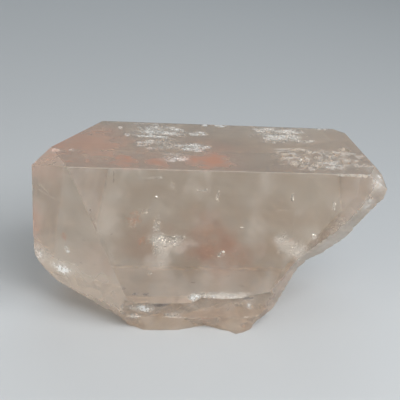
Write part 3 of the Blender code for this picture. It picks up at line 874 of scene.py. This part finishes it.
def break_marks(p):
    """How frosted and how milky a broken surface is at a point: clearest at the front ledge."""
    patchy = noise.noise(p * 0.45)
    behind = ramp(p.y, 6.0, 8.0)
    ledge = ramp(abs(p.x - 29.0), 19.0, -4.0) * (1.0 - behind)
    frost = 0.36 - ledge * 0.30 + patchy * (0.3 - ledge * 0.15) + behind * 0.34
    return max(0.03, frost), 0.20 - ledge * 0.12 + patchy * 0.10


def stain_and_reflection_at(p):
    """How iron stained the surface is at a point, with a painted rosy reflection on the top face and the
    left end, from 0 to 1, fading out softly.
    """
    total = 0.0
    for middle, half, strength in STAINS_AND_REFLECTIONS:
        edge = 1.5 + noise.noise(p * 0.28) * 0.45 + noise.noise(p * 0.8) * 0.25
        inside = clamp((edge - half_sizes_away(p, middle, half)) / 1.3)
        total += strength * inside * inside * (3.0 - 2.0 * inside)
    return min(1.0, total)


def ridge_wear_and_highlight(p):
    """Whiteness of the front ridge, worn and with a painted highlight along it, strongest toward the right
    tip.
    """
    base = 0.35 + 0.5 * wave(p.x * 0.8, 0.0, 0.0)
    end = max(0.0, (p.x - 56.0) / 7.0)
    return clamp(base * 0.5 + end)


def back_marks(p):
    """How frosted and how milky the faces behind are: uneven, in bands along the crystal."""
    band = wave(p.x * 0.06, p.y * 0.35, p.z * 0.35)
    patch = noise.noise(p * 0.24)
    return 0.72 + patch * 0.3, max(0.02, 0.16 + band * 0.12 + patch * 0.10)


def haze_at(p):
    """How hazy the front face is over the veils behind it."""
    haze = 0.0
    for middle, half, strength in HAZES:
        away = math.hypot((p.x - middle[0]) / half[0], (p.z - middle[1]) / half[1])
        away += noise.noise(p * 0.45) * 0.8 + noise.noise(p * 1.1) * 0.4
        haze = max(haze, strength * clamp(1.3 - away))
    return haze


def front_milk(p):
    """How milky the front face is: faint clouds, hazes, and hazier at its foot and its two ends."""
    foot = 0.12 * ramp(p.z, 20.0, -10.0)
    left = 0.10 * ramp(p.x, 14.0, -7.0)
    right = 0.12 * ramp(p.x, 54.0, 7.0)
    cloud = noise.noise(p * 0.16) * 0.08 + wave(p.x * 0.5, p.y, p.z * 0.22) * 0.05
    fine = noise.noise(p * 0.55) * 0.03
    return max(0.0, foot + max(left, right) + cloud + fine + haze_at(p))


def left_milk(p):
    """How milky the left front face is: hazier at its foot, where it was bruised."""
    foot = 0.13 * ramp(p.z, 20.0, -8.0)
    return max(0.0, 0.10 + foot + noise.noise(p * 0.35) * 0.05)


def bruise_and_highlight_at(p):
    """How strongly a place of the surface is white with bruises and painted highlights, from 0 to 1."""
    total = 0.0
    for middle, half, strength in BRUISES_AND_HIGHLIGHTS:
        total += strength * clamp((1.4 - half_sizes_away(p, middle, half)) / 0.9)
    return min(1.0, total)


def wear_and_highlight_at(name, p):
    """How white the surface is at a point: worn, and painted with highlights and reflections."""
    # White bruises, and painted highlights and glints
    wear_and_highlight = bruise_and_highlight_at(p)
    # The front ridge is worn white and carries a painted highlight along it
    if name == "ridge":
        wear_and_highlight = max(wear_and_highlight, ridge_wear_and_highlight(p))
    if name in ROUGH_FACES:
        wear_and_highlight = max(wear_and_highlight, etch_pit(p) * 0.35)
    # The rippled patches of the top face carry a painted bluish white reflection
    if name == "top":
        wear_and_highlight = max(wear_and_highlight, max(ripple_share(patch, p.x, p.y) * patch[6] for patch in RIPPLED_PATCHES))
    return wear_and_highlight


def frost_and_milk(name, p):
    """How frosted and how milky a face is at a point."""
    if name in EVEN_MARKS:
        return EVEN_MARKS[name]
    if name in ROUGH_FACES:
        return back_marks(p)
    if name == "front":
        return 0.0, front_milk(p)
    if name == "left front":
        return LEFT_FROST, left_milk(p)
    return break_marks(p)


def add_marks(bm, planes):
    """Note at each face corner how frosted and milky the surface is, how white with wear and painted
    highlights, and how stained with iron and a painted rosy reflection.
    """
    frost, milk, wear_and_highlight, stain_and_reflection = (bm.loops.layers.float.new(name) for name in MARKS)
    for face in bm.faces:
        name = next((name for name, plane in planes.items() if lies_on(face, *plane)), "break")
        for loop in face.loops:
            place = loop.vert.co
            loop[frost], loop[milk] = frost_and_milk(name, place)
            loop[wear_and_highlight] = wear_and_highlight_at(name, place)
            loop[stain_and_reflection] = stain_and_reflection_at(place)


def faces_at(vert, planes):
    """Names of the flat faces that a point lies on."""
    names = []
    for name, (normal, offset) in planes.items():
        if abs(vert.co.dot(normal) - offset) < POINT_ON_PLANE:
            names.append(name)
    return names


def add_relief(bm, planes):
    """Move the points inside the flat faces by their relief."""
    for vert in bm.verts:
        names = faces_at(vert, planes)
        if names == ["top"]:
            vert.co.z += top_relief(vert.co.x, vert.co.y)
        elif names == ["front"]:
            vert.co.y -= front_relief(vert.co.x, vert.co.z)
        elif len(names) == 1 and names[0] in ROUGH_FACES:
            vert.co -= planes[names[0]][0] * back_relief(vert.co)


def mark_sharp(bm):
    """Keep real edges sharp and smooth the rest."""
    limit = math.radians(SHARP_ANGLE)
    for edge in bm.edges:
        edge.smooth = not (edge.is_manifold and edge.calc_face_angle() > limit)
    for face in bm.faces:
        face.smooth = True


def broken_crystal():
    """The crystal with its breaks and chips, its flat faces still plain."""
    solid = faceted_block()
    subtract(solid, front_ledge())
    subtract(solid, right_break())
    subtract(solid, left_break())
    for index, (centre, radius, seed) in enumerate(CHIPS):
        subtract(solid, chip(index, centre, radius, seed))
    bm = bmesh.new()
    bm.from_mesh(solid.data)
    bpy.data.objects.remove(solid)
    bmesh.ops.remove_doubles(bm, verts=bm.verts[:], dist=WELD)
    bmesh.ops.dissolve_limit(
        bm, angle_limit=math.radians(FLAT_ANGLE), verts=bm.verts[:], edges=bm.edges[:],
        use_dissolve_boundaries=False,
    )
    return bm


def crystal_mesh():
    """The crystal in full detail."""
    bm = broken_crystal()
    bm.normal_update()
    planes = flat_planes()
    for name, step in DIVISIONS.items():
        divide_face(bm, *planes[name], step)
    bmesh.ops.triangulate(bm, faces=bm.faces[:])
    bm.normal_update()
    add_marks(bm, planes)
    add_relief(bm, planes)
    bm.normal_update()
    mark_sharp(bm)
    to_model(bm)
    return mesh_object("topaz", bm)


# What the crystal holds


def octahedron():
    """Points and triangles of a small closed grain, one unit across."""
    points = np.array([(1, 0, 0), (-1, 0, 0), (0, 1, 0), (0, -1, 0), (0, 0, 1), (0, 0, -1)], float) * 0.5
    faces = [(0, 2, 4), (2, 1, 4), (1, 3, 4), (3, 0, 4), (2, 0, 5), (1, 2, 5), (3, 1, 5), (0, 3, 5)]
    return points, np.array(faces)


def flake():
    """Points and triangles of a flat six-sided plate, one unit across, with bevelled rims."""
    ring = [(math.cos(a) * 0.5, math.sin(a) * 0.5) for a in np.linspace(0.0, 2 * math.pi, 7)[:6]]
    points = [(x, y, 0.5) for x, y in ring] + [(x * 1.12, y * 1.12, -0.5) for x, y in ring]
    faces = [(0, i, i + 1) for i in range(1, 5)] + [(6, 6 + i + 1, 6 + i) for i in range(1, 5)]
    for i in range(6):
        j = (i + 1) % 6
        faces += [(i, 6 + i, 6 + j), (i, 6 + j, j)]
    return np.array(points), np.array(faces)


def facing(rng, count, azimuth, elevation, stray):
    """Axes whose third row points to a direction, give or take an angle in degrees."""
    third = np.array(direction(azimuth, elevation)) + rng.normal(size=(count, 3)) * math.radians(stray)
    third /= np.linalg.norm(third, axis=1)[:, None]
    first = np.cross(rng.normal(size=(count, 3)), third)
    first /= np.linalg.norm(first, axis=1)[:, None]
    return np.stack((first, np.cross(third, first), third), axis=1)


def grain_sizes(rng, count, size):
    """Uneven sizes of small grains, along each of their axes."""
    return size * (0.55 + 0.9 * rng.random((count, 1))) * (0.7 + 0.5 * rng.random((count, 3)))


def clumped(rng, middle, half, count, size, clump=0.0, turns=(0.0, 0.0)):
    """Points of a cloud's uneven sheet, more of them where its noise is high, and their grains' sizes."""
    about_x, about_z = (math.radians(angle) for angle in turns)
    turn = Matrix.Rotation(about_z, 3, "Z") @ Matrix.Rotation(about_x, 3, "X")
    points = []
    while len(points) < count:
        u, v, w = rng.normal(size=3) * 0.5
        bend = wave(u * 1.5, v * 1.5, middle[0]) * 1.2
        p = Vector(middle) + turn @ Vector((u * half[0], (w * 0.4 + bend) * half[2], v * half[1]))
        strand = 0.5 + noise.noise(p * 1.1) * 0.8 + noise.noise(p * 3.1) * 0.5
        if rng.random() < 1.0 - clump or rng.random() * 0.9 < strand - clump * 0.25:
            points.append(p)
    return np.array(points), grain_sizes(rng, count, size)


def strung(rng, start, end, stray, count, size):
    """Points at random places along a line, with small strays, and their grains' sizes."""
    a = np.array(start)
    b = np.array(end)
    points = a + (b - a) * rng.random((count, 1)) + rng.normal(size=(count, 3)) * stray
    return points, grain_sizes(rng, count, size)


def kept_inside(points, sizes, surface):
    """Which points lie inside the crystal, clear of its surface."""
    keep = []
    for p, size in zip(points, sizes):
        place = (Vector(p) - MIDDLE) * MM
        nearest, normal, _, _ = surface.find_nearest(place)
        keep.append((place - nearest).dot(normal) < -(LEAST_DEPTH + size * 0.6) * MM)
    return np.array(keep)


def scattered(name, shape, points, axes, sizes, surface, material):
    """One mesh of many small closed shapes, each with its own place, axes and size."""
    keep = kept_inside(points, sizes.max(axis=1), surface)
    points, axes, sizes = points[keep], axes[keep], sizes[keep]
    corners, faces = shape
    verts = points[:, None, :] + (corners[None] * sizes[:, None, :]) @ axes
    verts = (verts.reshape(-1, 3) - np.array(MIDDLE)) * MM
    shift = np.arange(len(points))[:, None, None] * len(corners)
    mesh = bpy.data.meshes.new(name)
    mesh.from_pydata(verts.tolist(), [], (faces[None] + shift).reshape(-1, 3).tolist())
    mesh.materials.append(material)
    piece = add_object(name, mesh)
    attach(piece, "root")


def grains(name, clouds, lines, look, surface, material, seed):
    """A piece made of clouds and lines of small flat grains that face one way, give or take an angle."""
    rng = np.random.default_rng(seed)
    parts = [clumped(rng, *row) for row in clouds] + [strung(rng, *row) for row in lines]
    points, sizes = (np.concatenate(part) for part in zip(*parts))
    axes = facing(rng, len(points), *look)
    flattened = sizes * np.array((1.0, 1.0, GRAIN_FLATNESS))
    scattered(name, octahedron(), points, axes, flattened, surface, material)


def flake_group(rng, glint, middle, half, stray, count, length, own_glint=None):
    """Places, axes and sizes of a group of flakes that face their glint, give or take an angle."""
    places = np.array(middle) + rng.uniform(-1.0, 1.0, (count, 3)) * np.array(half)
    axes = facing(rng, count, *(own_glint or glint), stray)
    sizes = length * (0.5 + 0.8 * rng.random((count, 3)))
    sizes[:, 2] = FLAKE_THICKNESS
    return places, axes, sizes


def flakes(name, tables, surface, material, seed):
    """A piece made of groups of flat shining flakes."""
    rng = np.random.default_rng(seed)
    groups = [flake_group(rng, glint, *row) for glint, rows in tables for row in rows]
    places, axes, sizes = (np.concatenate(part) for part in zip(*groups))
    scattered(name, flake(), places, axes, sizes, surface, material)


def surface_of(crystal):
    """Search tree of the crystal's surface."""
    mesh = crystal.data
    return BVHTree.FromPolygons([v.co for v in mesh.vertices], [tuple(f.vertices) for f in mesh.polygons])


def inclusions(crystal):
    """The bubbles, flakes, rust dust and dark grains that the crystal holds."""
    surface = surface_of(crystal)
    bubble = speck_material("bubble_white", (0.97, 0.94, 0.90), (0.86, 0.82, 0.76), 0.65, 0.30)
    shine = speck_material("cleavage_flake", (0.98, 0.97, 0.95), (0.90, 0.88, 0.86), 1.0, 0.16)
    rust = speck_material("iron_dust", (0.90, 0.55, 0.34), (0.80, 0.44, 0.27), 0.0, 0.60)
    dark = speck_material("dark_grain", (0.12, 0.08, 0.07), (0.24, 0.15, 0.12), 0.0, 0.45)
    grains("front_veils", FRONT_VEILS, FRONT_LINES, FRONT_LOOK, surface, bubble, 11)
    grains("right_veils", RIGHT_VEILS, (), FRONT_LOOK, surface, bubble, 17)
    grains("top_veils", TOP_VEILS, (), TOP_LOOK, surface, bubble, 15)
    grains("left_veils", LEFT_VEILS, LEFT_LINES, LEFT_LOOK, surface, bubble, 16)
    grains("iron_dust", RUST_CLOUDS, (), FRONT_LOOK, surface, rust, 12)
    grains("dark_grains", GRAIN_CLOUDS, GRAIN_LINES, FRONT_LOOK, surface, dark, 13)
    flakes("cleavage_flakes", FLAKE_TABLES, surface, shine, 14)


# Materials


def new_material(name):
    """A node material with its node tree and its shader."""
    material = bpy.data.materials.new(name)
    material.use_nodes = True
    tree = material.node_tree
    return material, tree, tree.nodes["Principled BSDF"]


def fill_in(item, inputs):
    """Give some of a node's inputs plain values or the outputs of other nodes."""
    for key, value in inputs.items():
        if isinstance(value, bpy.types.NodeSocket):
            item.id_data.links.new(value, item.inputs[key])
        else:
            item.inputs[key].default_value = value


def node(tree, kind, inputs, **settings):
    """A shader node with its settings and some of its inputs filled in."""
    item = tree.nodes.new(kind)
    for name, value in settings.items():
        setattr(item, name, value)
    fill_in(item, inputs)
    return item


def object_noise(tree, scale, detail, roughness=0.5):
    """Noise over the object, finer at a higher scale."""
    place = node(tree, "ShaderNodeTexCoord", {}).outputs["Object"]
    inputs = {"Vector": place, "Scale": scale, "Detail": detail, "Roughness": roughness}
    return node(tree, "ShaderNodeTexNoise", inputs).outputs["Fac"]


def scaled(tree, source, low, high, from_low=0.0, from_high=1.0):
    """Map a node's output from one range to another."""
    inputs = {"Value": source, "From Min": from_low, "From Max": from_high, "To Min": low, "To Max": high}
    return node(tree, "ShaderNodeMapRange", inputs).outputs["Result"]


def combine(tree, operation, a, b):
    """Arithmetic on two outputs or numbers, held between 0 and 1 except in a subtraction."""
    settings = {"operation": operation, "use_clamp": operation != "SUBTRACT"}
    return node(tree, "ShaderNodeMath", {0: a, 1: b}, **settings).outputs["Value"]


def mixed(tree, factor, low, high):
    """Mix of two colours, each a colour or an output."""
    inputs = {MIX_FACTOR: factor, MIX_LOW: low, MIX_HIGH: high}
    return node(tree, "ShaderNodeMix", inputs, data_type="RGBA").outputs[MIX_RESULT]


def mark(tree, name):
    """What a mark of the mesh says at a place."""
    return node(tree, "ShaderNodeAttribute", {}, attribute_name=name).outputs["Fac"]


def topaz_colour(tree, milk, wear_and_highlight, stain_and_reflection):
    """Colour of the light that passes or is scattered: clean, milky, white with wear and painted
    highlights, or rusty with stains and a painted rosy reflection.
    """
    colour = mixed(tree, milk, CLEAN_COLOUR, MILKY_COLOUR)
    # Bluish white for wear and for painted highlights and reflections
    colour = mixed(tree, wear_and_highlight, colour, WORN_AND_HIGHLIGHT_COLOUR)
    # Rust colour for iron stains and for the painted rosy reflection
    return mixed(tree, stain_and_reflection, colour, IRON_AND_REFLECTION_COLOUR)


def topaz_transmission(tree, milk, wear_and_highlight, stain_and_reflection):
    """How much light passes: less where the surface is milky, white with wear and painted highlights, or
    rusty with stains and a painted rosy reflection.
    """
    glass = combine(tree, "SUBTRACT", TRANSMISSION, milk)
    glass = combine(tree, "SUBTRACT", glass, combine(tree, "MULTIPLY", wear_and_highlight, WEAR_AND_HIGHLIGHT_HIDES))
    return combine(tree, "SUBTRACT", glass, combine(tree, "MULTIPLY", stain_and_reflection, STAIN_AND_REFLECTION_HIDES))


def topaz_roughness(tree, frost, wear_and_highlight):
    """Roughness: mottled a little where it is clean, more where it is frosted, worn or painted with
    highlights.
    """
    clean = scaled(tree, object_noise(tree, 160.0, 5.0, 0.6), *CLEAN_ROUGHNESS, 0.35, 0.75)
    rough = combine(tree, "ADD", clean, combine(tree, "MULTIPLY", frost, FROST_ROUGHNESS))
    return combine(tree, "ADD", rough, combine(tree, "MULTIPLY", wear_and_highlight, WEAR_AND_HIGHLIGHT_ROUGHNESS))


def pitted_normal(tree, frost):
    """Normal of a finely pitted surface, more pitted where it is frosted."""
    strength = scaled(tree, frost, 0.0, 0.45, 0.1, 0.8)
    inputs = {"Distance": PIT_DEPTH, "Strength": strength, "Height": object_noise(tree, 1400.0, 4.0, 0.65)}
    return node(tree, "ShaderNodeBump", inputs).outputs["Normal"]


def topaz_material():
    """Clear topaz with a warm beige body colour: glassy faces, frosted breaks, bruises, iron stains,
    painted highlights and a painted rosy reflection.
    """
    material, tree, shader = new_material("topaz_glass")
    # The white mark carries wear and painted highlights and reflections; the stain mark carries iron
    # stains and a painted rosy reflection
    frost, milk, worn_and_highlight, stain_and_reflection = (mark(tree, name) for name in MARKS)
    speckle = scaled(tree, object_noise(tree, 1500.0, 3.0, 0.6), 0.2, 1.7, 0.42, 0.60)
    wear_and_highlight = combine(tree, "MULTIPLY", worn_and_highlight, speckle)
    fill_in(shader, {
        "Base Color": topaz_colour(tree, milk, wear_and_highlight, stain_and_reflection),
        "IOR": TOPAZ_IOR,
        "Transmission Weight": topaz_transmission(tree, milk, wear_and_highlight, stain_and_reflection),
        "Roughness": topaz_roughness(tree, frost, wear_and_highlight),
        "Normal": pitted_normal(tree, frost),
    })
    inside = {"Color": ABSORPTION_COLOUR, "Density": ABSORPTION_DENSITY}
    absorb = node(tree, "ShaderNodeVolumeAbsorption", inside)
    tree.links.new(absorb.outputs["Volume"], tree.nodes["Material Output"].inputs["Volume"])
    return material


def speck_material(name, light, dark, metal, roughness):
    """Opaque speck that varies between two tones."""
    material, tree, shader = new_material(name)
    vary = object_noise(tree, 2500.0, 2.0)
    tones = node(tree, "ShaderNodeValToRGB", {"Fac": vary})
    for element, position, colour in zip(tones.color_ramp.elements, (0.35, 0.60), (dark, light)):
        element.position = position
        element.color = colour + (1.0,)
    uneven = scaled(tree, vary, roughness * 0.7, roughness * 1.3)
    fill_in(shader, {"Base Color": tones.outputs["Color"], "Metallic": metal, "Roughness": uneven})
    return material


# The studio


def floor_material():
    """Plain pale cool grey paper."""
    material, _, shader = new_material("studio_paper")
    fill_in(shader, {"Base Color": PAPER_COLOUR, "Roughness": 0.9, "Specular IOR Level": 0.1})
    return material


def studio_floor():
    """A wide paper sheet just under the crystal that curves up far behind it."""
    bm = bmesh.new()
    profile = [(FLOOR_FRONT, 0.0), (FLOOR_BACK, 0.0)]
    for step in range(1, CURVE_STEPS + 1):
        angle = math.pi / 2 * step / CURVE_STEPS
        profile.append((FLOOR_BACK + CURVE_RADIUS * math.sin(angle), CURVE_RADIUS * (1 - math.cos(angle))))
    profile.append((FLOOR_BACK + CURVE_RADIUS, WALL_TOP))
    rows = [[bm.verts.new((x, y, z)) for x in (-FLOOR_SIDE, FLOOR_SIDE)] for y, z in profile]
    for lower, upper in zip(rows, rows[1:]):
        face = bm.faces.new((lower[0], lower[1], upper[1], upper[0]))
        face.smooth = True
    floor = mesh_object("studio_floor", bm)
    floor.location.z = -FLOOR_GAP
    floor.data.materials.append(floor_material())


def area_light(name, place, target, size, power, colour):
    """A soft box that faces a point."""
    data = bpy.data.lights.new(name, "AREA")
    data.shape = "RECTANGLE"
    data.size, data.size_y = size
    data.energy = power
    data.color = colour
    lamp = add_object(name, data)
    lamp.location = place
    lamp.rotation_euler = (Vector(target) - Vector(place)).to_track_quat("-Z", "Y").to_euler()


def studio_lights():
    """A plain pale surround, a cool window behind, a key lamp high in front and a low warm reflector."""
    world = bpy.data.worlds.new("surround")
    bpy.context.scene.world = world
    world.use_nodes = True
    surround = world.node_tree.nodes["Background"]
    fill_in(surround, {"Color": SURROUND_COLOUR, "Strength": SURROUND_STRENGTH})
    for lamp in LAMPS:
        area_light(*lamp)


def photo_camera():
    """The camera at the photograph's viewing angle."""
    data = bpy.data.cameras.new("photo_camera")
    data.sensor_width = CAMERA_SENSOR
    data.lens = CAMERA_LENS
    data.clip_start = CAMERA_CLIP
    camera = add_object("photo_camera", data)
    attitude = Matrix.Translation((Vector(CAMERA_PLACE) - MIDDLE) * MM)
    for angle, axis in ((CAMERA_AZIMUTH, "Z"), (90.0 - CAMERA_ELEVATION, "X"), (CAMERA_ROLL, "Z")):
        attitude = attitude @ Matrix.Rotation(math.radians(angle), 4, axis)
    camera.matrix_world = attitude
    bpy.context.scene.camera = camera


def build():
    """Dress the crystal and set up the studio."""
    crystal = crystal_mesh()
    crystal.data.materials.clear()
    crystal.data.materials.append(topaz_material())
    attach(crystal, "root")
    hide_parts(NODE)
    inclusions(crystal)
    studio_floor()
    studio_lights()
    photo_camera()
    bpy.context.scene.view_settings.view_transform = "Standard"


build()
